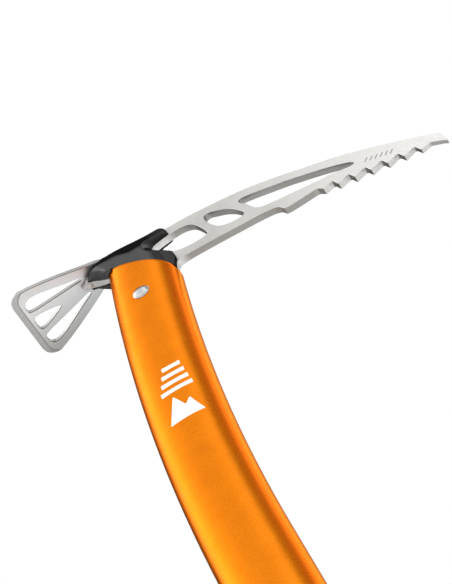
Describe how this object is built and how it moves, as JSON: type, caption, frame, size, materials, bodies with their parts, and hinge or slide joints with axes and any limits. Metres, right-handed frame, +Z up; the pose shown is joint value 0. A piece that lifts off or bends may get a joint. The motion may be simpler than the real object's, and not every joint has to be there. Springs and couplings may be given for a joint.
{
  "type": "ice axe",
  "caption": "Compact ice axe: toothed steel pick with cut-outs, windowed adze, black head cap, curved anodised tube shaft with a bevelled foot and a sliding hand rest.",
  "frame": {"origin": "half way between the adze edge and the pick tip, in the head plate's plane, at the level of the foot; the straight lower shaft stands 55.6 mm behind it", "axes": "+Z up the straight shaft towards the head, +X towards the pick, -X towards the adze, the head plate in the XZ plane"},
  "size_m": [0.1894, 0.035, 0.4496],
  "materials": {
    "steel": "satin",
    "weld": "heat tinted",
    "shaft": "blasted and anodised, satin",
    "polymer": "moulded, soft satin",
    "rivet": "bright satin",
    "elastomer": "matte"
  },
  "bodies": {
    "axe": {"shaft_tube": "shaft", "head_blade": "steel", "adze_plate": "steel", "adze_weld": "weld", "head_cap": "polymer", "tang_spacer_left": "polymer", "tang_spacer_right": "polymer", "head_rivet": "rivet", "foot_plug": "polymer", "foot_plug_pin": "rivet", "leash_eyelet": "rivet"},
    "hand_rest": {"rest_body": "polymer", "rest_liner": "elastomer", "rest_screw": "rivet", "rest_nut": "rivet"}
  },
  "joints": [
    {"name": "hand_rest_slide", "type": "slide", "parent": "axe", "child": "hand_rest", "axis": [0, 0, 1], "range_m": [-0.035, 0.1]}
  ]
}
